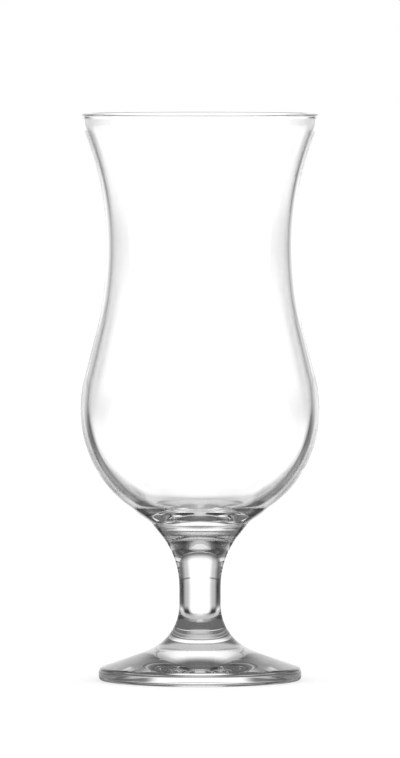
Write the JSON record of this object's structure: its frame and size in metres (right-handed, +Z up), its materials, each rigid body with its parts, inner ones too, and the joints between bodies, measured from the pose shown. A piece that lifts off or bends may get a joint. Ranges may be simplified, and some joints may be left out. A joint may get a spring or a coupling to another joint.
{
  "type": "hurricane glass",
  "caption": "Footed hurricane cocktail glass in clear glass: flared rim, narrow waist, round belly, short solid stem and a broad round foot.",
  "frame": {"origin": "centre of the circle on which the foot rests, on the axis of the glass", "axes": "+Z up along the axis of the glass, from the foot to the rim; X and Y lie in the table plane and are alike, because the glass is round"},
  "size_m": [0.0824, 0.0824, 0.195],
  "materials": {
    "clear_glass": "fire-polished, clear and colourless"
  },
  "bodies": {
    "root": {"bowl": "clear_glass", "stem": "clear_glass", "foot": "clear_glass"}
  },
  "joints": []
}
